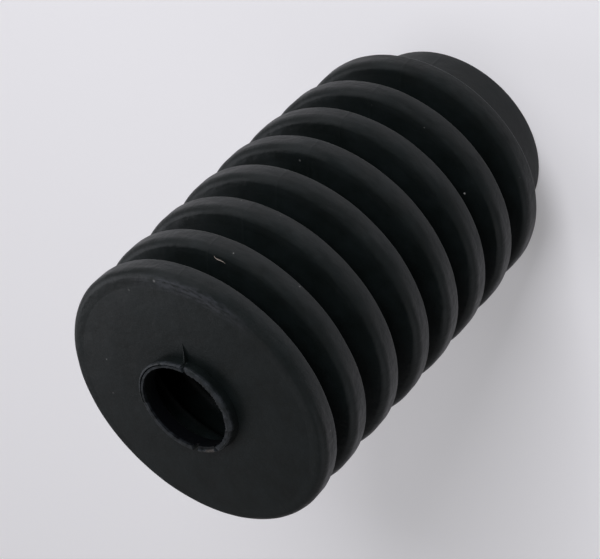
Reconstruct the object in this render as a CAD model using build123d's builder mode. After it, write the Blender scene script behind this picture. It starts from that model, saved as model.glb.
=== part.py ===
from build123d import *
from math import cos, radians, tan
import os

os.makedirs("parts", exist_ok=True)

# Rubber bellows boot, moulded in one piece: a large collar that is clipped over a housing, eight folds that
# stretch and close up like a concertina, and a flat front face with a small lip that wipes the rod.
#
# Millimetres, +Z along the boot's axis towards the lip, origin at the centre of the collar's flat end, which
# the boot stands on. The two halves of the mould met in the YZ plane, so their seam runs down -Y and +Y.

# ---- driving dimensions ------------------------------------------------------------------------------

wall = 1.4                   # rubber thickness of the flanks, the roots and the front face

# collar
collar_bore = 42.0           # inside, over the housing
collar_wall = 2.5            # rubber thickness of the collar, which a clip closes round
collar_length = 12.9         # from its flat end to the foot of the rear fold
collar_edge_round = 0.6      # rounding of both edges of its flat end
collar_foot_round = 1.5      # hollow where the collar meets the rear fold

# folds
fold_count = 8               # the front one, with the flat face, included
crest_diameter = 62.0        # over the folds
rear_crest_diameter = 60.4   # over the rear fold, which is a little smaller
rear_edge_round = 0.5        # rounding of a fold's rear edge, where the mould is cut sharp
front_edge_round = 1.8       # rounding of its front edge
root_diameter = 39.6         # outside, at the bottom of the grooves
pocket_gap = 1.95            # open width inside a fold, at the pocket's crest
pocket_round = 0.7           # rounding of the pocket's two corners
flank_lean = 7.0             # degrees that a flank leans, so that a fold thickens towards its root

# grooves between the folds, measured along the axis at their crests
groove_gap = 7.6
rear_groove_gap = 8.6        # in front of the rear fold
front_groove_gap = 6.6       # behind the front fold

# front face and lip
face_rise = 1.0              # how much higher the face is at the lip than at its edge
face_crown = 0.25            # how far the face bulges from a straight cone
lip_bore = 20.0              # hole that the rod runs through
lip_wall = 1.2               # rubber thickness of the lip
lip_height = 2.6             # how far the lip stands out of the face
lip_foot_round = 0.5         # hollow where the lip meets the face
lip_edge_round = 0.4         # rounding of the lip's outer rim and of the hole's inner edge

# two nicks and a tear in the trimmed rim of the lip: degrees round the axis, width, depth
rim_cuts = [(96.0, 0.8, 1.0), (126.0, 1.2, 0.8), (-98.0, 0.5, 1.5)]

# ---- sizes that follow from them ---------------------------------------------------------------------

lean = radians(flank_lean)
collar_bore_radius = collar_bore / 2
collar_radius = collar_bore_radius + collar_wall
edge_round = min(collar_edge_round, 0.45 * collar_wall)
crest_radii = [rear_crest_diameter / 2] + [crest_diameter / 2] * (fold_count - 1)
root_radius = root_diameter / 2
inner_root_radius = root_radius - wall
lip_bore_radius = lip_bore / 2
lip_radius = lip_bore_radius + lip_wall

fold_thickness = pocket_gap + 2 * wall * (1 / cos(lean) - tan(lean))     # at its crest
groove_gaps = [rear_groove_gap] + [groove_gap] * (fold_count - 3) + [front_groove_gap]


def half_fold(crest_radius, radius, inset=0.0):
    """Half a fold's thickness at a radius, on the outer skin or on one that lies an inset inside it."""
    return fold_thickness / 2 + (crest_radius - radius) * tan(lean) - inset / cos(lean)


fold_middles = [collar_length + half_fold(crest_radii[0], collar_radius)]
root_gaps = []                                   # how wide each groove is at its bottom
for gap, crest_radius, next_crest_radius in zip(groove_gaps, crest_radii, crest_radii[1:]):
    fold_middles.append(fold_middles[-1] + fold_thickness + gap)
    root_gaps.append(gap - (crest_radius + next_crest_radius - 2 * root_radius) * tan(lean))
root_round = min(root_gaps) / 2                  # the narrowest groove has a fully rounded bottom
face_edge_height = fold_middles[-1] + fold_thickness / 2
face_height = face_edge_height + face_rise       # of the face, at the lip
lip_top = face_height + lip_height


def folded_skin(collar_skin_radius, inset):
    """Corners (radius, height) of a skin of the folds, from the collar up to the edge of the front face."""
    root = root_radius - inset
    flank_foot = collar_skin_radius
    corners = []
    for middle, crest_radius in zip(fold_middles, crest_radii):
        crest = crest_radius - inset
        corners.append((flank_foot, middle - half_fold(crest_radius, flank_foot, inset)))
        corners.append((crest, middle - half_fold(crest_radius, crest, inset)))
        corners.append((crest, middle + half_fold(crest_radius, crest, inset)))
        corners.append((root, middle + half_fold(crest_radius, root, inset)))
        flank_foot = root
    return corners[:-2] + [(crest, face_edge_height - inset)]     # the front fold's other flank is the face


def nearest(sketch, corners):
    """The sketch's vertices that lie at the given (radius, height) corners."""
    return [sketch.vertices().sort_by_distance(corner)[0] for corner in corners]


# ---- the boot ----------------------------------------------------------------------------------------

outer_folds = folded_skin(collar_radius, 0)
inner_folds = folded_skin(collar_bore_radius, wall)

with BuildPart() as boot:
    # the form that the mould's two halves give the outside
    with BuildSketch(Plane.XZ) as outside:
        with BuildLine():
            Polyline((0, 0), (collar_radius, 0), *outer_folds)
            SagittaArc(outer_folds[-1], (lip_radius, face_height), face_crown)
            Polyline((lip_radius, face_height), (lip_radius, lip_top), (0, lip_top), (0, 0))
        make_face()
        roots = [corner for corner in outer_folds if corner[0] == root_radius]
        crests = [corner for corner in outer_folds if corner[0] in crest_radii]
        fillet(nearest(outside, crests[0::2]), rear_edge_round)
        fillet(nearest(outside, crests[1::2]), front_edge_round)
        fillet(nearest(outside, roots), root_round)
        fillet(nearest(outside, outer_folds[:1]), collar_foot_round)
        fillet(nearest(outside, [(collar_radius, 0)]), edge_round)
        fillet(nearest(outside, [(lip_radius, face_height)]), lip_foot_round)
        fillet(nearest(outside, [(lip_radius, lip_top)]), lip_edge_round)
    revolve(axis=Axis.Z)

    # the core that the rubber flowed round
    with BuildSketch(Plane.XZ) as inside:
        with BuildLine():
            Polyline((0, 0), (collar_bore_radius, 0), *inner_folds)
            SagittaArc(inner_folds[-1], (lip_bore_radius, face_height - wall), face_crown)
            Polyline((lip_bore_radius, face_height - wall), (lip_bore_radius, lip_top), (0, lip_top), (0, 0))
        make_face()
        pockets = [corner for corner in inner_folds[1:] if corner[0] > inner_root_radius]
        inner_roots = [corner for corner in inner_folds[1:] if corner[0] == inner_root_radius]
        fillet(nearest(inside, pockets), pocket_round)
        fillet(nearest(inside, inner_roots), root_round + wall)
        fillet(nearest(inside, [(lip_bore_radius, face_height - wall)]), lip_edge_round)
    revolve(axis=Axis.Z, mode=Mode.SUBTRACT)

    # the collar's inner edge, which the core leaves sharp
    end_edges = boot.edges().filter_by(GeomType.CIRCLE).group_by(Axis.Z)[0]
    fillet(end_edges.sort_by(SortBy.RADIUS)[0], edge_round)

    # nicks and the tear in the rim, cut across the lip's wall
    for angle, cut_width, cut_depth in rim_cuts:
        with Locations(Plane.XY.offset(lip_top) * Rot(Z=angle) * Pos(X=lip_bore_radius + lip_wall / 2)):
            Box(2 * lip_wall, cut_width, 2 * cut_depth, mode=Mode.SUBTRACT)

boot.part.label = "bellows_boot"
export_step(boot.part, "parts/bellows_boot.step")
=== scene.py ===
# %% [markdown]
# # A rubber bellows boot
#
# The object is one moulding of black rubber: a collar that a clip holds to a housing, eight folds that
# stretch and close up like a concertina, and a flat face with a thin lip that wipes the rod. It is a
# turned form, so the whole wall is one section, drawn once and spun about the boot's axis. After that
# come the things that a real moulding has and a drawing lacks: the fine seam of the mould, a rim that was
# trimmed by hand, a sliver of flash, a little slackness in the rubber, and dust.
#
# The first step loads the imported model. Its box is the size that the finished boot has to keep.

# %% The frame
import bpy
import bmesh
from math import atan2, cos, degrees, hypot, pi, radians, sin, tan
from mathutils import Matrix, Quaternion, Vector


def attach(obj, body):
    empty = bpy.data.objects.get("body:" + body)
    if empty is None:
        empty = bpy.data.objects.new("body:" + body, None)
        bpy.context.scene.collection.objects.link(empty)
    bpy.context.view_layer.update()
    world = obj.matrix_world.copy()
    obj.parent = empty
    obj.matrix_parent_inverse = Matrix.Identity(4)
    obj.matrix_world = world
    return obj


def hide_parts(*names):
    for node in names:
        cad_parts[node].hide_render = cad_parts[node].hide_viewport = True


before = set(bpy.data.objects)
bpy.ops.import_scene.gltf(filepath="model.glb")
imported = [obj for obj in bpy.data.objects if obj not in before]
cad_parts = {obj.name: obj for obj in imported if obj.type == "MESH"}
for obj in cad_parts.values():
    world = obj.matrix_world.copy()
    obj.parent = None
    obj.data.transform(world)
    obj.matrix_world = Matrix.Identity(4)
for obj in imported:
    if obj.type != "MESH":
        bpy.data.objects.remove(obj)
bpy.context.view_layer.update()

MM = 0.001

# %% [markdown]
# ## Sizes
#
# Everything is worked out from a few sizes that a mould maker would put on the drawing, in millimetres.
# The rubber has settled a little unevenly since it left the mould, so each fold also has its own small
# slip along the axis and its own small swell across it. They are tenths of a millimetre, yet they keep
# the folds from looking copied.

# %% Sizes of the section
WALL = 1.4
COLLAR_BORE_R, COLLAR_R, COLLAR_LENGTH = 21.0, 23.5, 12.9
COLLAR_EDGE_ROUND, COLLAR_FOOT_ROUND = 0.6, 1.5
CREST_R, REAR_CREST_R, ROOT_R = 31.0, 30.2, 19.8
REAR_EDGE_ROUND, FRONT_EDGE_ROUND = 0.5, 1.8
POCKET_GAP, POCKET_ROUND = 1.95, 0.7
LEAN = radians(7.0)
GROOVE_GAPS = [8.6] + [7.6] * 5 + [6.6]
FACE_RISE, FACE_CROWN = 1.0, 0.25
LIP_BORE_R, LIP_WALL, LIP_HEIGHT, LIP_EDGE_ROUND = 10.0, 1.2, 2.6, 0.4
# one value for each fold, from the rear one to the front one
SLIP = [-0.02, -0.02, 0.03, -0.02, -0.12, 0.04, 0.20, 0.13]
SWELL = [-0.14, -0.20, 0.03, 0.18, 0.13, -0.05, -0.10, -0.10]

LIP_R = LIP_BORE_R + LIP_WALL
THICKNESS = POCKET_GAP + 2 * WALL * (1 / cos(LEAN) - tan(LEAN))


def half_fold(crest_r, radius, inset=0.0):
    """Half a fold's thickness at a radius, on the outer skin or on one that lies an inset inside it."""
    return THICKNESS / 2 + (crest_r - radius) * tan(LEAN) - inset / cos(LEAN)


crests = [REAR_CREST_R] + [CREST_R] * len(GROOVE_GAPS)
middles = [COLLAR_LENGTH + half_fold(REAR_CREST_R, COLLAR_R)]
for gap in GROOVE_GAPS:
    middles.append(middles[-1] + THICKNESS + gap)
FACE_EDGE_Z = middles[-1] + THICKNESS / 2
FACE_Z = FACE_EDGE_Z + FACE_RISE
TOP_Z = FACE_Z + LIP_HEIGHT
# the slip and the swell come after the heights above, so that the lip stays where it is
middles = [middle + slip for middle, slip in zip(middles, SLIP)]
crests = [crest + swell for crest, swell in zip(crests, SWELL)]
face_edge = middles[-1] + THICKNESS / 2
print("folds at", [round(middle, 2) for middle in middles], "mm; lip at", round(TOP_Z, 2), "mm")

# %% [markdown]
# ## The section of the wall
#
# A turned form is easiest to draw as half of its section, as on a lathe. It could be made from a ring
# that is extruded and scaled for every step, but the rounds would then have to be worked out by hand.
# Here one vertex is extruded from corner to corner round the whole wall, up the outside and down the
# inside, and the sharp corners are bevelled afterwards, each with the radius that the mould has there.

# %% Corners of the wall, (radius, height) in mm
outside, inside = [], []
foot, inner_foot = COLLAR_R, COLLAR_BORE_R
for middle, crest in zip(middles, crests):
    pocket, inner_root = crest - WALL, ROOT_R - WALL
    outside += [(foot, middle - half_fold(crest, foot)), (crest, middle - THICKNESS / 2),
                (crest, middle + THICKNESS / 2), (ROOT_R, middle + half_fold(crest, ROOT_R))]
    inside += [(inner_foot, middle - half_fold(crest, inner_foot, WALL)),
               (pocket, middle - half_fold(crest, pocket, WALL)),
               (pocket, middle + half_fold(crest, pocket, WALL)),
               (inner_root, middle + half_fold(crest, inner_root, WALL))]
    foot, inner_foot = ROOT_R, inner_root
# the front fold has the face in place of its front flank
outside = outside[:-1]
inside = inside[:-2] + [(pocket, face_edge - WALL)]
print(len(outside), "outer and", len(inside), "inner corners")

# %% Drawing with one vertex
MERGE = 0.001 * MM           # vertices that are closer than this become one


def choose(part, *others):
    """Selects a part and others with it, and makes the part the active one."""
    bpy.ops.object.select_all(action="DESELECT")
    for chosen in (part, *others):
        chosen.select_set(True)
    bpy.context.view_layer.objects.active = part


def edit(part):
    """Opens a mesh for editing with nothing selected."""
    choose(part)
    bpy.ops.object.mode_set(mode="EDIT")
    bpy.ops.mesh.select_mode(type="VERT")
    bpy.ops.mesh.select_all(action="DESELECT")


def done():
    """Closes the mesh that is open for editing."""
    bpy.ops.object.mode_set(mode="OBJECT")


def pick(part, test):
    """Selects the vertices that pass a test on their place in mm, and says how many they are."""
    mesh = bmesh.from_edit_mesh(part.data)
    bpy.ops.mesh.select_all(action="DESELECT")
    chosen = [vertex for vertex in mesh.verts if test(vertex.co / MM)]
    for vertex in chosen:
        vertex.select = True
    mesh.select_flush(True)
    bmesh.update_edit_mesh(part.data)
    return len(chosen)


def crowned(start, end, crown, count):
    """Points between two ends on a shallow curve that bulges by a crown."""
    points = []
    for step in range(1, count):
        t = step / count
        bulge = 4 * crown * t * (1 - t)
        points.append((start[0] + (end[0] - start[0]) * t, start[1] + (end[1] - start[1]) * t + bulge))
    return points


face = crowned(outside[-1], (LIP_R, FACE_Z), FACE_CROWN, 8)
under_face = crowned((LIP_BORE_R, FACE_Z - WALL), inside[-1], FACE_CROWN, 4)
RIM_RADII = [LIP_R, 10.75, 10.6, 10.45, LIP_BORE_R]      # the middle one becomes the bottom of a groove
rim = [(rim_radius, TOP_Z) for rim_radius in RIM_RADII]
loop = ([(COLLAR_R, 0.0)] + outside + face + [(LIP_R, FACE_Z)] + rim + [(LIP_BORE_R, FACE_Z - WALL)]
        + under_face + inside[::-1] + [(COLLAR_BORE_R, 0.0)])

bpy.ops.object.select_all(action="DESELECT")
bpy.ops.mesh.primitive_plane_add(size=MM, location=(0, 0, 0))
boot = bpy.context.object
boot.name = "moulded_boot"
edit(boot)
bpy.ops.mesh.select_all(action="SELECT")
bpy.ops.mesh.merge(type="CENTER")
bpy.ops.transform.translate(value=(loop[0][0] * MM, 0, loop[0][1] * MM))
for (r0, z0), (r1, z1) in zip(loop, loop[1:] + loop[:1]):
    bpy.ops.mesh.extrude_region_move(TRANSFORM_OT_translate={"value": ((r1 - r0) * MM, 0, (z1 - z0) * MM)})
bpy.ops.mesh.select_all(action="SELECT")
bpy.ops.mesh.remove_doubles(threshold=MERGE)
print("section:", len(bmesh.from_edit_mesh(boot.data).verts), "corners")


# %% Rounding the corners
def round_off(part, corners, radius, pieces):
    """Bevels the section's corners, (radius, height) in mm, to a round of one radius."""
    for corner in corners:
        place = Vector((corner[0], 0, corner[1]))
        count = pick(part, lambda co: (co - place).length < 0.01)
        assert count == 1, (corner, count)
        mesh = bmesh.from_edit_mesh(part.data)
        vertex = next(vertex for vertex in mesh.verts if vertex.select)
        ends = [edge.other_vert(vertex).co - vertex.co for edge in vertex.link_edges]
        reach = radius / tan(ends[0].angle(ends[1]) / 2)
        bpy.ops.mesh.bevel(offset=reach * MM, segments=pieces, affect="VERTICES", offset_type="OFFSET",
                           clamp_overlap=False)


SPARE = 0.1                  # kept free of the narrowest groove's full round, since slip narrows the groove
ROOT_ROUND = (min(GROOVE_GAPS) - 2 * (CREST_R - ROOT_R) * tan(LEAN)) / 2 - SPARE
folds = [outside[index:index + 4] for index in range(0, len(outside), 4)]
for foot, rear_edge, front_edge, *root in folds:
    round_off(boot, [rear_edge], REAR_EDGE_ROUND, 4)
    round_off(boot, [front_edge], FRONT_EDGE_ROUND, 9)
    round_off(boot, root, ROOT_ROUND, 4)
    round_off(boot, [foot], COLLAR_FOOT_ROUND if foot == folds[0][0] else ROOT_ROUND, 4)
round_off(boot, [(COLLAR_R, 0.0), (COLLAR_BORE_R, 0.0)], COLLAR_EDGE_ROUND, 3)
# the lip's foot stays sharp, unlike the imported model's, whose small round there would draw a bright ring
round_off(boot, [(LIP_R, TOP_Z), (LIP_BORE_R, FACE_Z - WALL)], LIP_EDGE_ROUND, 3)
for index, corner in enumerate(inside[1:], 1):
    if index % 4 in (1, 2):          # of a fold's four inner corners, the middle two are its pocket's
        round_off(boot, [corner], POCKET_ROUND, 2)
    else:
        round_off(boot, [corner], ROOT_ROUND + WALL, 3)
print("rounded:", len(bmesh.from_edit_mesh(boot.data).verts), "corners")

# %% [markdown]
# ## Spinning the wall
#
# A screw modifier or the spin tool both turn a section into a body. The spin tool is used because it
# leaves plain mesh that the next steps can cut and push. The flat stretches are divided first, so that
# the rubber's slackness has something to bend. The outer skin also goes into a vertex group before the
# spin, which carries it along, so that later steps can work on the outside alone.

# %% Dividing the section and marking its outside
def divide(part, longest):
    """Cuts the section's long straight edges into stretches no longer than a length in mm."""
    for cuts in (4, 3, 2, 1):
        mesh = bmesh.from_edit_mesh(part.data)
        bpy.ops.mesh.select_all(action="DESELECT")
        bpy.ops.mesh.select_mode(type="EDGE")
        for edge in mesh.edges:
            edge.select = edge.calc_length() / MM > longest * cuts
        bmesh.update_edit_mesh(part.data)
        if any(edge.select for edge in mesh.edges):
            bpy.ops.mesh.subdivide(number_cuts=cuts)
    bpy.ops.mesh.select_mode(type="VERT")


LONGEST_EDGE = 2.6
LOW_ON_THE_COLLAR = Vector((COLLAR_R, 0, 3.0))

divide(boot, LONGEST_EDGE)
mesh = bmesh.from_edit_mesh(boot.data)
# a walk from vertex to vertex, up the outside to the rim
walker = min(mesh.verts, key=lambda vertex: (vertex.co / MM - LOW_ON_THE_COLLAR).length)
came_from = min((edge.other_vert(walker) for edge in walker.link_edges), key=lambda vertex: vertex.co.z)
skin = [walker]
while walker.co.z < (TOP_Z - 0.01) * MM:
    neighbours = [edge.other_vert(walker) for edge in walker.link_edges]
    came_from, walker = walker, next(vertex for vertex in neighbours if vertex != came_from)
    skin.append(walker)
bpy.ops.mesh.select_all(action="DESELECT")
for vertex in skin:
    vertex.select = True
bmesh.update_edit_mesh(boot.data)
boot.vertex_groups.new(name="outside")
bpy.ops.object.vertex_group_assign()
print("section before the spin:", len(mesh.verts), "vertices, of which", len(skin), "outside")

# %% Spinning
STEPS = 200

bpy.ops.mesh.select_all(action="SELECT")
bpy.ops.mesh.spin(steps=STEPS, angle=2 * pi, center=(0, 0, 0), axis=(0, 0, 1))
bpy.ops.mesh.select_all(action="SELECT")
bpy.ops.mesh.remove_doubles(threshold=MERGE)
bpy.ops.mesh.normals_make_consistent(inside=False)
bpy.ops.mesh.select_all(action="DESELECT")
bpy.ops.object.vertex_group_select()
marked = sum(vertex.select for vertex in bmesh.from_edit_mesh(boot.data).verts)
done()
print("spun:", len(boot.data.vertices), "vertices,", marked, "of them outside")

# %% [markdown]
# ## The mould's seam
#
# The halves of the mould met in the plane of X = 0. Rubber creeps into that joint and leaves a line a
# quarter of a millimetre wide that stands a few hundredths high, down both sides of the boot. A bump map
# could fake it from afar, but not on the outline, where the line breaks the edge of every fold. So two
# cuts beside the plane bound the line, and the column of vertices between them is pushed outwards.

# %% Raising the seam
SEAM_HALF_WIDTH, SEAM_HEIGHT = 0.13, 0.035
SEAM_END = face_edge - 0.8   # the line ends on the round of the front fold

edit(boot)
for side in (-1, 1):
    bpy.ops.mesh.select_all(action="SELECT")
    bpy.ops.mesh.bisect(plane_co=(side * SEAM_HALF_WIDTH * MM, 0, 0), plane_no=(1, 0, 0))
mesh = bmesh.from_edit_mesh(boot.data)
group = mesh.verts.layers.deform.active
bpy.ops.mesh.select_all(action="DESELECT")
seam = [vertex for vertex in mesh.verts if abs(vertex.co.x) < 0.01 * MM
        and vertex.co.z < SEAM_END * MM and vertex[group].get(0, 0) > 0.5]
for vertex in seam:
    vertex.select = True
bmesh.update_edit_mesh(boot.data)
bpy.ops.transform.shrink_fatten(value=SEAM_HEIGHT * MM)
done()
print("seam:", len(seam), "vertices pushed out by", SEAM_HEIGHT, "mm")

# %% [markdown]
# ## Slackness in the skin
#
# Moulded rubber is never as true as the steel it came from. It shrinks unevenly and rests in slight
# hollows that only show because a gloss runs over them. A displace modifier with a cloud texture pushes
# the outer skin in and out by a few hundredths of a millimetre, over hollows about a centimetre across.

# %% Slackness
HOLLOW_SIZE, SLACKNESS = 9.0, 0.16

clouds = bpy.data.textures.new("slack", type="CLOUDS")
clouds.noise_scale = HOLLOW_SIZE * MM
slack = boot.modifiers.new("slack", type="DISPLACE")
slack.texture = clouds
slack.texture_coords = "LOCAL"
slack.strength = SLACKNESS * MM
slack.mid_level = 0.5
slack.vertex_group = "outside"
choose(boot)
before = [vertex.co.copy() for vertex in boot.data.vertices]
bpy.ops.object.modifier_apply(modifier="slack")
moved = max((vertex.co - old).length for vertex, old in zip(boot.data.vertices, before))
print("slackness: up to", round(moved / MM, 3), "mm")

# %% [markdown]
# ## The lip's trimmed rim
#
# The lip is moulded too long and its end is cut off by hand, so the rim is the least regular part of the
# boot. The knife left a ledge inside one side with a narrow groove behind it, the other side is thicker,
# and there are two nicks with a thin flap between them and a tear beside the seam. The soft lip also
# leans by four tenths of a millimetre. Everything is done to the rim's own vertices, sector by sector:
# lowered parts are squeezed towards a level below the rim, so that the wall under them stays smooth.
# Boxes could be cut out instead, but their straight walls would look milled rather than torn.

# %% Trimming the rim
# stretches of the rim, from one angle to another in degrees
LEDGE, THIN_SIDE, FLAP, THICK_SIDE = (-96, 14), (14, 96), (96, 126), (172, 262)
LIP_REACH = 12.5             # mm from the axis; everything high up inside this radius belongs to the lip
# from an angle to an angle, depth in mm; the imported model's nicks are shallower
NICKS = ((93.2, 97.4, 1.3), (125.0, 130.2, 1.9))
# from an angle, between an inner and an outer radius in mm
TEAR = ((-101.0, 0.0, 10.3), (-99.2, 10.3, 10.9), (-97.4, 10.9, LIP_REACH))
TEAR_WIDTH, TEAR_DEPTH = 2.2, 1.6
LIP_LEAN = Vector((0.22, -0.33, 0.0))


def sector(part, start, end, test):
    """Selects vertices between two angles in degrees that also pass a test on radius and height in mm."""
    def chosen(co):
        angle = degrees(atan2(co.y, co.x))
        return (angle - start) % 360 <= end - start and test(hypot(co.x, co.y), co.z)
    return pick(part, chosen)


def lower(part, start, end, depth, inner=0.0, outer=LIP_REACH, level=TOP_Z - 2.2):
    """Squeezes a sector of the rim down by a depth in mm, between two radii."""
    if sector(part, start, end, lambda radius, height: inner < radius < outer and height > level):
        squeeze = 1 - depth / (TOP_Z - level)
        bpy.ops.transform.resize(value=(1, 1, squeeze), center_override=(0, 0, level * MM))


edit(boot)
# groove behind the ledge
sector(boot, *LEDGE, lambda radius, height: 10.5 < radius < 10.7 and height > TOP_Z - 0.1)
bpy.ops.transform.translate(value=(0, 0, -0.45 * MM))
# thicker side
count = sector(boot, *THICK_SIDE, lambda radius, height: 10.7 < radius < 11.9 and height > TOP_Z - 1.1)
bpy.ops.transform.resize(value=(1.03, 1.03, 1), center_override=(0, 0, 0))
# thin side, cut lower, and the flap between the nicks, bent inwards
lower(boot, *THIN_SIDE, 0.25)
lower(boot, *FLAP, 0.3)
lower(boot, *FLAP, 0.6, outer=10.5)
# nicks, and the tear, which runs askew through the wall
for start, end, depth in NICKS:
    lower(boot, start, end, depth)
for start, inner, outer in TEAR:
    lower(boot, start, start + TEAR_WIDTH, TEAR_DEPTH, inner, outer)
# the ragged cut, coarser along the inside of the thick side
pick(boot, lambda co: co.z > TOP_Z - 0.75 and hypot(co.x, co.y) < 11.7)
bpy.ops.transform.vertex_random(offset=0.07 * MM, seed=4)
sector(boot, *THICK_SIDE, lambda radius, height: radius < 10.2 and height > TOP_Z - 0.3)
bpy.ops.transform.vertex_random(offset=0.22 * MM, seed=7)
bpy.ops.transform.translate(value=(0, 0, -0.12 * MM))
# the soft lip leans a little
pick(boot, lambda co: co.z > TOP_Z - 2.0 and hypot(co.x, co.y) < LIP_REACH)
bpy.ops.transform.translate(value=LIP_LEAN * MM)
done()
print("rim: thick side of", count, "vertices, height now",
      round(max(vertex.co.z for vertex in boot.data.vertices) / MM, 2), "mm")

# %% [markdown]
# ## The sliver of flash
#
# Where the mould's joint met the lip, rubber crept between the plates and stayed on as a thin fin, widest
# and highest at the lip and gone after five millimetres. It is a block as long as the fin, which is
# narrowed and lowered at its outer end and bent a little. It sits in the boot's skin and is joined to it.

# %% Making the fin
def block(name, size, place=(0.0, 0.0, 0.0)):
    """Adds a block of a size at a place, both in mm."""
    bpy.ops.object.select_all(action="DESELECT")
    bpy.ops.mesh.primitive_cube_add(size=MM, location=[value * MM for value in place])
    made = bpy.context.object
    made.name = name
    edit(made)
    bpy.ops.mesh.select_all(action="SELECT")
    bpy.ops.transform.resize(value=size)
    done()
    bpy.ops.object.transform_apply(location=True, rotation=False, scale=False)
    return made


def slice_up(part, axis, cuts):
    """Divides a block into even stretches along its longest axis, 0 for X or 1 for Y."""
    mesh = bmesh.from_edit_mesh(part.data)
    bpy.ops.mesh.select_mode(type="EDGE")
    for edge in mesh.edges:
        edge.select = abs(edge.verts[0].co[axis] - edge.verts[1].co[axis]) > MM
    bmesh.update_edit_mesh(part.data)
    bpy.ops.mesh.subdivide(number_cuts=cuts)
    bpy.ops.mesh.select_mode(type="VERT")


FIN_R0, FIN_R1, FIN_Z0, FIN_Z1 = 11.0, 16.2, FACE_Z - 0.4, FACE_Z + 1.4
FIN_THICKNESS, FIN_TIP_HEIGHT = 0.3, 0.25
FIN_X, FIN_SLANT, FIN_BEND = -0.7, 1.1, 0.5

fin_size = (FIN_THICKNESS, FIN_R1 - FIN_R0, FIN_Z1 - FIN_Z0)
fin = block("flash_fin", fin_size, (0, -(FIN_R0 + FIN_R1) / 2, (FIN_Z0 + FIN_Z1) / 2))
edit(fin)
slice_up(fin, 1, 7)
stations = sorted({round(-vertex.co.y / MM, 3) for vertex in bmesh.from_edit_mesh(fin.data).verts})
for station in stations:
    t = (station - FIN_R0) / (FIN_R1 - FIN_R0)
    top = FIN_Z0 + FIN_TIP_HEIGHT + (FIN_Z1 - FIN_Z0 - FIN_TIP_HEIGHT) * (1 - t) ** 1.3
    pick(fin, lambda co: abs(-co.y - station) < 0.01)
    bpy.ops.transform.resize(value=(1 - 0.75 * t, 1, 1), center_override=(0, 0, 0))
    bpy.ops.transform.translate(value=((FIN_X + FIN_SLANT * t - FIN_BEND * t * (1 - t)) * MM, 0, 0))
    pick(fin, lambda co: abs(-co.y - station) < 0.01 and co.z > (FIN_Z0 + FIN_Z1) / 2)
    bpy.ops.transform.translate(value=(0, 0, (top - FIN_Z1) * MM))
done()
choose(boot, fin)
bpy.ops.object.join()
print("fin joined:", len(boot.data.vertices), "vertices")

# %% [markdown]
# ## A fleck of lint
#
# Rubber holds dust by static. The largest bit on this boot is a curled fleck of pale fluff, nearly three
# millimetres long, that rests on the front of the second fold. It is a thin strip, arched and tapered, so
# that it has a lit edge and a shadow of its own. An attribute of the mesh marks its vertices, and the
# rubber's material reads it. A second attribute, which comes to use with the rubber, says how far a vertex
# lies on a fold's front edge.

# %% Laying the fleck
def framed(part, place, along, up):
    """Turns a part at the origin, its X along one direction and its Z near another, and moves it (mm)."""
    x = Vector(along).normalized()
    z = (Vector(up) - Vector(up).dot(x) * x).normalized()
    y = z.cross(x)
    part.matrix_world = Matrix.Translation(Vector(place) * MM) @ Matrix((x, y, z)).transposed().to_4x4()
    choose(part)
    bpy.ops.object.transform_apply(location=True, rotation=True, scale=True)


LINT_LENGTH, LINT_WIDTH, LINT_THICKNESS = 2.7, 0.22, 0.08
LINT_CUTS, LINT_CURL, LINT_ARCH = 8, 0.22, 0.3

lint = block("lint", (LINT_LENGTH, LINT_WIDTH, LINT_THICKNESS))
edit(lint)
slice_up(lint, 0, LINT_CUTS)
for index in range(LINT_CUTS + 2):
    t = index / ((LINT_CUTS + 1) / 2) - 1        # from -1 at one end to 1 at the other
    pick(lint, lambda co: abs(co.x - LINT_LENGTH / 2 * t) < 0.05)
    taper = (1, 1 - 0.75 * abs(t) ** 1.5, 1 - 0.6 * abs(t))
    bpy.ops.transform.resize(value=taper, center_override=(0, 0, 0))
    bpy.ops.transform.translate(value=(0, LINT_CURL * sin(2.4 * t) * MM, LINT_ARCH * (1 - t * t) * MM))
done()
framed(lint, place=(-2.85, -28.98, 91.88), along=(-2.65, 1.43, 0.15), up=(-0.1, -0.55, 0.85))

# the top of the flap between the nicks is painted lighter between these angles, as a painted highlight
FLAP_HIGHLIGHT_FROM, FLAP_HIGHLIGHT_TO = 98, 124     # degrees


def flap(co):
    """Painted highlight of a vertex: only the thin flap's top between the nicks, which catches the light,
    more towards one end.
    """
    co = co - LIP_LEAN
    angle = degrees(atan2(co.y, co.x))
    inner = 10.9 if angle < 110 else 10.5
    if FLAP_HIGHLIGHT_FROM < angle < FLAP_HIGHLIGHT_TO and co.z > TOP_Z - 0.7 and hypot(co.x, co.y) > inner:
        return 0.05 + 0.18 * (angle - FLAP_HIGHLIGHT_FROM) / (FLAP_HIGHLIGHT_TO - FLAP_HIGHLIGHT_FROM)
    return 0.0


def front_edge_wear(co):
    """How dull a vertex is: 0 at a fold's rear edge, 1 at its front edge, and 0 again down the flank."""
    middle, crest = min(zip(middles, crests), key=lambda fold: abs(co.z - fold[0]))
    across = ((co.z - middle) / (THICKNESS / 2) + 0.6) / 0.8
    down = (hypot(co.x, co.y) - crest + 2.8) / 0.8
    return max(0.0, min(1.0, across, down))


# one attribute carries the lint's own colour and the painted highlight on the flap's top
for part, name, values in ((boot, "lint_and_painted_highlight", [flap(vertex.co / MM) for vertex in boot.data.vertices]),
                           (boot, "wear", [front_edge_wear(vertex.co / MM) for vertex in boot.data.vertices]),
                           (lint, "lint_and_painted_highlight", [0.6] * len(lint.data.vertices))):
    part.data.attributes.new(name, "FLOAT", "POINT").data.foreach_set("value", values)
choose(boot, lint)
bpy.ops.object.join()
lint_and_painted_highlight = boot.data.attributes["lint_and_painted_highlight"]
print("lint joined:", sum(item.value > 0 for item in lint_and_painted_highlight.data), "pale vertices of", len(lint_and_painted_highlight.data))

# %% Handing the boot over
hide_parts("bellows_boot")
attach(boot, "root")
choose(boot)
bpy.ops.object.shade_smooth_by_angle(angle=radians(40))
print("boot:", len(boot.data.polygons), "faces")
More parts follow.
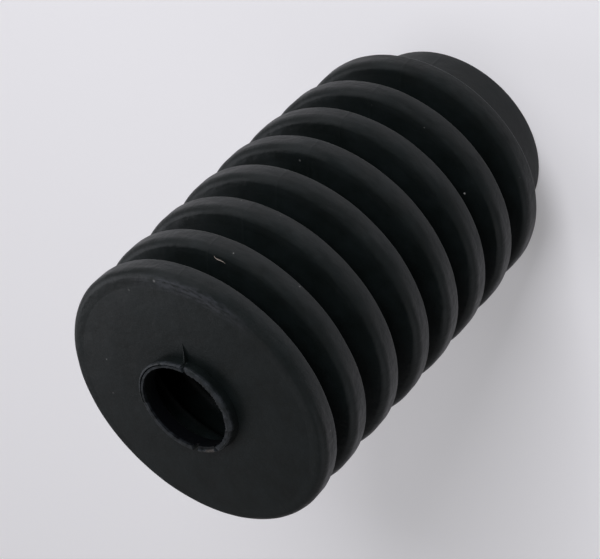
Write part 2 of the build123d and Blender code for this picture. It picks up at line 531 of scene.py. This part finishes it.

# %% [markdown]
# ## The rubber
#
# Black rubber is coloured with carbon, and less than one hundredth of the light comes back out of it.
# What the eye sees is the sheen of its surface, so the colour hardly counts and the unevenness of the
# sheen does. The IOR of 1.43 was tuned together with these lamps. Rubber's own is nearer 1.5, which is
# the value to start from under other lamps.
#
# A picture of dirt could be wrapped round the boot, but it would show its pixels up close and stretch at
# the folds. Patterns that are computed from the place on the object do neither. Each has a size that
# suits such a moulding: a grain of a third of a millimetre from a blasted mould, clouds of six
# millimetres where wax blooms out of the rubber, and blotches and streaks on the edges of the folds,
# where they would rub in a box.
#
# On one side of the boot the folds' front edges are also duller. That is a guess: rubbing would make them
# dark, and so would dark surroundings that they reflect. The dullness follows the folds, so it is painted
# on the mesh: an attribute says how far each vertex lies on a front edge, and the streaks break it up. To
# leave it out, set the factor of dull_edges to 0.
#
# The streaks run along the folds, so they need coordinates that go round the boot, which are worked out
# from the object's own. The rim's cut surface is greyer than the moulded skin. The wall of the bore is
# painted darker: painted shade, for the little light that gets inside. The thin flap between the lip's
# nicks is painted lighter at its top, more towards one end: a painted highlight where it catches the light.
# The scuffed stretch of the front edge is painted lighter, partly for its scratches and partly as a painted
# highlight along the round. It and the larger specks of dust are placed one by one.

# %% Helpers for materials
def linear(code):
    """The linear colour of an sRGB hex code."""
    values = [int(code[index:index + 2], 16) / 255 for index in (1, 3, 5)]
    return [value / 12.92 if value <= 0.04045 else ((value + 0.055) / 1.055) ** 2.4
            for value in values] + [1.0]


def node(tree, kind, settings, links):
    """Adds a shader node, sets its fields and inputs by name or number, and links other outputs to it."""
    made = tree.nodes.new(kind)
    for name, value in settings.items():
        if isinstance(name, int) or name in made.inputs:
            made.inputs[name].default_value = value
        else:
            setattr(made, name, value)
    for name, output in links.items():
        tree.links.new(output, made.inputs[name])
    return made


def maths(tree, operation, first, second=None):
    """A Math node between outputs or numbers; returns its output."""
    values = {index: value for index, value in enumerate((first, second)) if isinstance(value, (int, float))}
    outputs = {index: value for index, value in enumerate((first, second))
               if value is not None and index not in values}
    return node(tree, "ShaderNodeMath", {"operation": operation, **values}, outputs).outputs[0]


def ramp(tree, value, low, high):
    """Maps a value from between two numbers to 0..1, held at the ends; low may be above high."""
    return node(tree, "ShaderNodeMapRange", {"From Min": low, "From Max": high}, {"Value": value}).outputs[0]


def window(tree, value, start, full, fading, end):
    """1 between two inner numbers, fading to 0 at the two outer ones."""
    return maths(tree, "MULTIPLY", ramp(tree, value, start, full), ramp(tree, value, end, fading))


def product(tree, first, *others):
    """Multiplies outputs or numbers one after another."""
    for other in others:
        first = maths(tree, "MULTIPLY", first, other)
    return first


def total(tree, first, *others):
    """Adds outputs or numbers one after another."""
    for other in others:
        first = maths(tree, "ADD", first, other)
    return first


def blend(tree, factor, first, second):
    """Mixes two colours, given as hex codes or outputs."""
    made = node(tree, "ShaderNodeMix", {"data_type": "RGBA"}, {"Factor": factor})
    for index, colour in ((6, first), (7, second)):
        if isinstance(colour, str):
            made.inputs[index].default_value = linear(colour)
        else:
            tree.links.new(colour, made.inputs[index])
    return made.outputs[2]


# %% Moulded rubber
rubber = bpy.data.materials.new("moulded_rubber")
rubber.use_nodes = True
tree = rubber.node_tree
shader = tree.nodes["Principled BSDF"]
place = node(tree, "ShaderNodeTexCoord", {}, {}).outputs["Object"]
split = node(tree, "ShaderNodeSeparateXYZ", {}, {"Vector": place})
x, y, z = split.outputs
radius = maths(tree, "SQRT", total(tree, product(tree, x, x), product(tree, y, y)))
angle = maths(tree, "ARCTAN2", y, x)
way_round = product(tree, angle, 30 * MM)        # how far round the boot, near its crests
round_the_boot = node(tree, "ShaderNodeCombineXYZ", {}, {"X": radius, "Y": way_round, "Z": z}).outputs[0]


def stretched(scale):
    """Coordinates round the boot, scaled along the radius, the way round and the height."""
    return node(tree, "ShaderNodeMapping", {"Scale": scale}, {"Vector": round_the_boot}).outputs[0]


def noise(size, detail, vector=None):
    """Cloud noise whose patches are about a size in mm."""
    return node(tree, "ShaderNodeTexNoise", {"Scale": 1 / (size * MM), "Detail": detail, "Roughness": 0.6},
                {"Vector": vector or place}).outputs["Fac"]


grain = noise(0.35, 2.0)
blotches = noise(1.8, 2.5)
bloom = noise(6.0, 4.0)
streaks = noise(1.0, 1.5, stretched((0.6, 0.18, 0.6)))
print("rubber: grain of 0.35 mm, blotches of 1.8 mm, bloom of 6 mm and streaks of about 2 by 6 mm")

# %% Scuffs with a painted highlight, and dust on the rubber
# one by one: place in mm, radius in mm, strength
SPECKS = [((-22.48, -12.2, 31.8), 0.28, 1.9), ((-5.3, -30.37, 90.4), 0.2, 0.6),
          ((2.27, -28.19, 55.56), 0.3, 0.3), ((5.2, -28.5, 102.5), 0.4, 0.6),
          ((11.96, -24.07, 102.7), 0.35, 0.3), ((21.14, -3.19, 103.1), 0.22, 0.8),
          ((21.18, 5.87, 103.0), 0.3, 0.3), ((-30.79, -2.54, 99.9), 0.25, 0.5),
          ((-13.2, -26.1, 31.3), 0.2, 0.5), ((24.0, 12.0, 62.0), 0.3, 0.5), ((4.0, 30.5, 40.5), 0.25, 0.5),
          ((2.85, -30.8, 75.7), 0.2, 0.6), ((-6.6, -30.25, 75.85), 0.15, 0.4),
          ((-18.3, -24.9, 87.75), 0.2, 0.6)]
dust = None
for spot, size, strength in SPECKS:
    centre = [value * MM for value in spot]
    to_centre = node(tree, "ShaderNodeVectorMath", {"operation": "DISTANCE", 1: centre}, {0: place})
    mark = product(tree, ramp(tree, to_centre.outputs["Value"], size * MM, 0.5 * size * MM), strength)
    dust = mark if dust is None else maths(tree, "MAXIMUM", dust, mark)

# strewn: one small grain in some of the cells of a Voronoi pattern
cells = node(tree, "ShaderNodeTexVoronoi", {"Scale": 1 / (9 * MM)}, {"Vector": place})
chance = node(tree, "ShaderNodeSeparateColor", {}, {"Color": cells.outputs["Color"]}).outputs[0]
strewn = product(tree, ramp(tree, cells.outputs["Distance"], 0.016, 0.008), ramp(tree, chance, 0.72, 0.78))
dust = maths(tree, "MAXIMUM", dust, product(tree, strewn, 0.35))

# scuffed stretch of the front fold's edge, beside the seam, painted lighter: partly scratches, partly a
# painted highlight along the round
across = window(tree, radius, 26.8 * MM, 28.2 * MM, 29.4 * MM, 30.4 * MM)
along = window(tree, angle, radians(-126), radians(-108), radians(-84), radians(-66))
on_the_face = ramp(tree, z, 100.5 * MM, 101.5 * MM)
scratches = noise(1.0, 3.0, stretched((1.8, 0.5, 1.8)))
scuff_and_painted_highlight = product(tree, across, along, on_the_face, ramp(tree, scratches, 0.36, 0.62))

# %% Colour, sheen and bump of the rubber
lint_and_painted_highlight = node(tree, "ShaderNodeAttribute", {"attribute_name": "lint_and_painted_highlight"}, {}).outputs["Fac"]
wear = node(tree, "ShaderNodeAttribute", {"attribute_name": "wear"}, {}).outputs["Fac"]
cut = product(tree, ramp(tree, z, (TOP_Z - 0.9) * MM, (TOP_Z - 0.5) * MM),
              ramp(tree, radius, 11.9 * MM, 11.6 * MM))
# painted shade: the wall of the bore is painted darker, for the little light that gets inside
bore_painted_shade = ramp(tree, radius, 10.3 * MM, 10.1 * MM)

# each layer covers the ones before it
colour = blend(tree, ramp(tree, bloom, 0.35, 0.75), "#0c100f", "#121717")
for cover, tone in ((product(tree, ramp(tree, blotches, 0.5, 0.75), 0.05), "#2a2f34"),
                    # painted shade on the wall of the bore
                    (bore_painted_shade, "#060709"),
                    # scratches and a painted highlight along the front fold's round
                    (product(tree, scuff_and_painted_highlight, 0.45), "#4a4b50"),
                    (product(tree, cut, ramp(tree, streaks, 0.3, 0.6)), "#292c2f"),
                    (product(tree, dust, 0.5), "#a9a7a3"),
                    # the lint's own colour, and the painted highlight on the flap's top
                    (lint_and_painted_highlight, "#a0948a")):
    colour = blend(tree, cover, colour, tone)
tree.links.new(colour, shader.inputs["Base Color"])

# roughness: unevenness, dust, and the dull front edges on one side of the boot
LEAST_ROUGHNESS = 0.29
dull_side = window(tree, angle, radians(-165), radians(-145), radians(-100), radians(-82))
dull_edges = product(tree, wear, dull_side, ramp(tree, streaks, 0.85, 0.35))
roughness = total(tree, product(tree, bloom, 0.16), product(tree, streaks, 0.16),
                  product(tree, maths(tree, "MAXIMUM", dust, lint_and_painted_highlight), 0.4), product(tree, dull_edges, 0.4),
                  LEAST_ROUGHNESS)
tree.links.new(roughness, shader.inputs["Roughness"])
shader.inputs["IOR"].default_value = 1.43

# bump: grain and bloom all over, blotches and streaks near the crests only
BUMP_HEIGHT = 0.3
near_the_crests = ramp(tree, radius, 27.5 * MM, 29.5 * MM)
edge_marks = product(tree, total(tree, product(tree, streaks, 0.5), product(tree, blotches, 0.4)),
                     near_the_crests)
height = total(tree, product(tree, grain, 0.04), edge_marks, product(tree, bloom, 0.6))
bump = node(tree, "ShaderNodeBump", {"Strength": 1.0, "Distance": BUMP_HEIGHT * MM}, {"Height": height})
tree.links.new(bump.outputs["Normal"], shader.inputs["Normal"])
boot.data.materials.clear()
boot.data.materials.append(rubber)
print("rubber:", len(tree.nodes), "nodes,", len(SPECKS), "specks placed")

# %% [markdown]
# ## The floor
#
# The boot stands on a sheet of white paper that is lit by the same lamps as the boot. Matt paper returns
# about four fifths of the light, which renders as a light grey. Brighter lamps would whiten it, but they
# would also bleach the rubber. So the paper glows a little where the camera sees it, straight or through
# glass, and more weakly in a reflection. Near the boot the glow is small beside the light of the lamps,
# so the boot's shadow stays on the paper. It grows further off, where the lamps no longer reach.

# %% Paper floor
GLOW_NEAR, GLOW_MORE = 0.24, 0.42
GLOW_REFLECTED = 0.25


def seen(tree, reflected):
    """1 where the camera sees a surface, straight or through glass, and a share of that in reflections."""
    rays = node(tree, "ShaderNodeLightPath", {}, {}).outputs
    straight = maths(tree, "MAXIMUM", rays["Is Camera Ray"], rays["Is Transmission Ray"])
    return maths(tree, "MAXIMUM", straight, product(tree, rays["Is Glossy Ray"], reflected))


bpy.ops.object.select_all(action="DESELECT")
bpy.ops.mesh.primitive_plane_add(size=6.0, location=(0, 0, 0))
floor = bpy.context.object
floor.name = "floor"
paper = bpy.data.materials.new("paper_sweep")
paper.use_nodes = True
tree = paper.node_tree
shader = tree.nodes["Principled BSDF"]
shader.inputs["Base Color"].default_value = linear("#e6e3e3")
shader.inputs["Roughness"].default_value = 0.9
shader.inputs["Emission Color"].default_value = linear("#f5f4f7")
from_the_boot = node(tree, "ShaderNodeTexCoord", {}, {}).outputs["Object"]
away = node(tree, "ShaderNodeVectorMath", {"operation": "LENGTH"}, {0: from_the_boot}).outputs["Value"]
glow = total(tree, product(tree, ramp(tree, away, 0.35, 1.3), GLOW_MORE), GLOW_NEAR)
tree.links.new(product(tree, seen(tree, GLOW_REFLECTED), glow), shader.inputs["Emission Strength"])
floor.data.materials.append(paper)
print("floor:", [round(side, 2) for side in floor.dimensions[:2]], "m, glow", GLOW_NEAR, "near the boot and",
      round(GLOW_NEAR + GLOW_MORE, 2), "far off")

# %% [markdown]
# ## The camera
#
# A small product is taken from some distance with a long lens, so that its two ends keep nearly the same
# scale. The camera looks down on the lip's end and is rolled, so that the boot's axis runs across the
# picture from corner to corner. It is placed by its direction, distance and roll about the point that it
# looks at, and a quaternion turns it there in one step, which is easier to adjust than three angles that
# depend on one another.

# %% Camera
LENS = 120.91
AIM = Vector((4.035, 1.914, 57.882)) * MM
AZIMUTH, ELEVATION, ROLL, DISTANCE = radians(-38.3), radians(39.35), radians(-135.376), 433.58 * MM
back = Vector((sin(AZIMUTH) * cos(ELEVATION), -cos(AZIMUTH) * cos(ELEVATION), sin(ELEVATION)))
bpy.ops.object.camera_add(location=AIM + back * DISTANCE)
camera = bpy.context.object
camera.data.lens = LENS
camera.data.sensor_width = 36.0
camera.rotation_mode = "QUATERNION"
camera.rotation_quaternion = (-back).to_track_quat("-Z", "Y") @ Quaternion((0, 0, 1), ROLL)
camera.data.clip_start = 0.01
bpy.context.scene.camera = camera
print("camera:", [round(value / MM) for value in camera.location], "mm, lens", LENS, "mm")

# %% [markdown]
# ## The light
#
# Black rubber shows its form by what it reflects. A bare lamp would put a hard spot on every fold, so the
# boot is lit by large soft lamps: one on the left that draws the broad sheen along the folds, one on the
# right and a faint one behind, which lift the dark sides, and a dim world all round. Where the camera
# sees the world, straight or through glass, it is as pale as the paper, so that no dark horizon shows
# when the boot is looked at from low down. In reflections it stays dim, about a quarter as bright. The
# key lamp is smaller, so that the shadow on the paper has an edge. It is hidden from glossy rays and
# lights the paper without a spot on the rubber.

# %% Lamps
WORLD_LIGHT, WORLD_SEEN, WORLD_REFLECTED = 0.12, 0.6, 0.08

world = bpy.data.worlds.new("studio")
bpy.context.scene.world = world
world.use_nodes = True
tree = world.node_tree
tree.nodes["Background"].inputs["Color"].default_value = linear("#fdfcff")
strength = total(tree, product(tree, seen(tree, WORLD_REFLECTED), WORLD_SEEN), WORLD_LIGHT)
tree.links.new(strength, tree.nodes["Background"].inputs["Strength"])
CENTRE = Vector((0, 0, 0.055))


def softbox(name, azimuth, elevation, distance, size, watts):
    """A square soft lamp round the boot; azimuth in degrees from +X towards +Y, elevation above the floor."""
    turn, rise = radians(azimuth), radians(elevation)
    place = CENTRE + distance * Vector((cos(turn) * cos(rise), sin(turn) * cos(rise), sin(rise)))
    bpy.ops.object.light_add(type="AREA", location=place)
    light = bpy.context.object
    light.name = name
    light.data.shape = "SQUARE"
    light.data.size = size
    light.data.energy = watts
    light.data.color = (0.98, 1.0, 1.07)
    light.rotation_mode = "QUATERNION"
    light.rotation_quaternion = (CENTRE - place).to_track_quat("-Z", "Y")
    return light


key = softbox("key_softbox", -100, 36, 0.9, 0.35, 5.6)
key.visible_glossy = False
softbox("left_softbox", -65, 35, 0.9, 0.8, 1.85)
softbox("right_softbox", 15, 35, 0.9, 0.6, 1.3)
softbox("back_softbox", 135, 35, 0.9, 0.6, 0.42)
bpy.context.scene.view_settings.view_transform = "Standard"
lamps = [item for item in bpy.data.objects if item.type == "LIGHT"]
print("lamps:", [(lamp.name, round(lamp.data.energy, 2)) for lamp in lamps])
